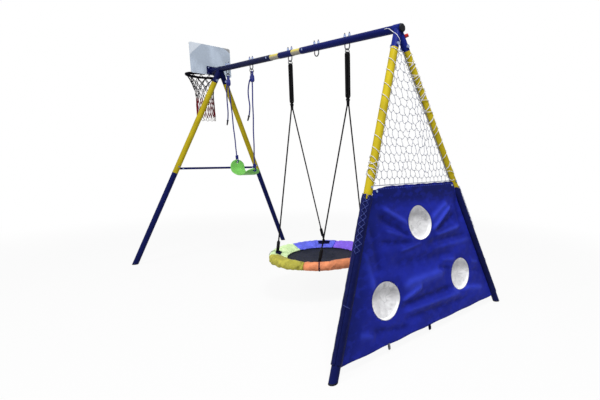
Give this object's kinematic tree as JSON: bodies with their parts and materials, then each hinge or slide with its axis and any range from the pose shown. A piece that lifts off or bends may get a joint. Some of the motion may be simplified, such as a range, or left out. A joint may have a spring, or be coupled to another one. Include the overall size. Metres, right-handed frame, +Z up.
{
  "type": "garden swing set",
  "caption": "Steel A-frame garden swing set with a belt swing, a padded saucer swing, a ball hoop on a board and a goal end with a net above a target sheet.",
  "frame": {"origin": "on the ground under the middle of the whole set's box, without its free rope ends", "axes": "+X along the beam towards the goal end, +Y across the beam towards the back, +Z up"},
  "size_m": [3.1953, 1.5498, 2.035],
  "materials": {
    "beam_blue": "glossy powder coat",
    "bracket_blue": "glossy powder coat",
    "leg_yellow": "glossy powder coat",
    "leg_navy": "glossy powder coat",
    "cap_black": "moulded",
    "foot_rubber": "matt",
    "plug_red": "moulded",
    "bolt_steel": "zinc plated",
    "hanger_steel": "zinc plated",
    "board_white": "moulded sheet",
    "hoop_black": "satin powder coat",
    "hoop_cord": "knotted cord",
    "net_white": "knotted cord",
    "sheet_blue": "coated cloth",
    "pocket_pale": "fine mesh cloth",
    "adjuster_blue": "moulded",
    "rope_blue": "braided rope",
    "seat_green": "moulded",
    "rope_black": "braided rope",
    "webbing_black": "woven webbing",
    "rim_steel": "galvanised",
    "mat_black": "woven mat",
    "pad_pink": "coated cloth over foam",
    "pad_purple": "coated cloth over foam",
    "pad_blue": "coated cloth over foam",
    "pad_green": "coated cloth over foam",
    "pad_yellow": "coated cloth over foam",
    "pad_orange": "coated cloth over foam"
  },
  "bodies": {
    "frame": {"beam_hoop_tube": "beam_blue", "beam_goal_tube": "beam_blue", "beam_joint_tube": "leg_yellow", "beam_joint_collar": "beam_blue", "beam_joint_bolts": "bolt_steel", "beam_end_cap": "cap_black", "hoop_corner_bracket": "bracket_blue", "goal_corner_bracket": "bracket_blue", "corner_bolts": "bolt_steel", "bracket_plugs": "plug_red", "upper_leg_hoop_front": "leg_yellow", "upper_leg_hoop_back": "leg_yellow", "upper_leg_goal_front": "leg_yellow", "upper_leg_goal_back": "leg_yellow", "lower_leg_hoop_front": "leg_navy", "lower_leg_hoop_back": "leg_navy", "lower_leg_goal_front": "leg_navy", "lower_leg_goal_back": "leg_navy", "leg_joint_bolts": "bolt_steel", "foot_caps": "foot_rubber", "hoop_crossbar": "beam_blue", "goal_crossbar": "beam_blue", "crossbar_bolts": "bolt_steel", "swing_u_bolts": "hanger_steel", "spare_u_bolt": "hanger_steel", "u_bolt_nuts": "bolt_steel", "hoop_board": "board_white", "hoop_bracket": "bracket_blue", "hoop_bolts": "bolt_steel", "hoop_ring": "hoop_black", "hoop_net": "hoop_cord", "goal_net": "net_white", "net_lacing": "net_white", "target_sheet": "sheet_blue", "sheet_lacing": "net_white", "target_pocket_high": "pocket_pale", "target_pocket_front": "pocket_pale", "target_pocket_back": "pocket_pale"},
    "belt_hangers": {"belt_rings": "hanger_steel", "belt_adjusters": "adjuster_blue", "belt_rope_left": "rope_blue", "belt_rope_right": "rope_blue", "belt_tail_left": "rope_blue", "belt_tail_right": "rope_blue"},
    "belt_seat": {"belt_seat": "seat_green"},
    "saucer": {"saucer_rings": "hanger_steel", "saucer_straps": "rope_black", "saucer_gathers": "rope_black", "saucer_ropes": "rope_black", "saucer_rope_sleeves": "rope_black", "saucer_rim_loops": "webbing_black", "saucer_rim": "rim_steel", "saucer_mat": "mat_black", "saucer_pad_pink": "pad_pink", "saucer_pad_purple": "pad_purple", "saucer_pad_blue": "pad_blue", "saucer_pad_green": "pad_green", "saucer_pad_yellow": "pad_yellow", "saucer_pad_orange": "pad_orange"}
  },
  "joints": [
    {"name": "belt_swing", "type": "hinge", "parent": "frame", "child": "belt_hangers", "pos_m": [-0.69568, 0, 1.741], "axis": [1, 0, 0], "range_deg": [-50, 50]},
    {"name": "seat_rock", "type": "hinge", "parent": "belt_hangers", "child": "belt_seat", "pos_m": [-0.68955, 0, 0.92078], "axis": [0.982, 0, -0.1889], "range_deg": [-30, 30]},
    {"name": "saucer_swing", "type": "hinge", "parent": "frame", "child": "saucer", "pos_m": [0.45232, 0, 1.741], "axis": [1, 0, 0], "range_deg": [-45, 45]}
  ]
}
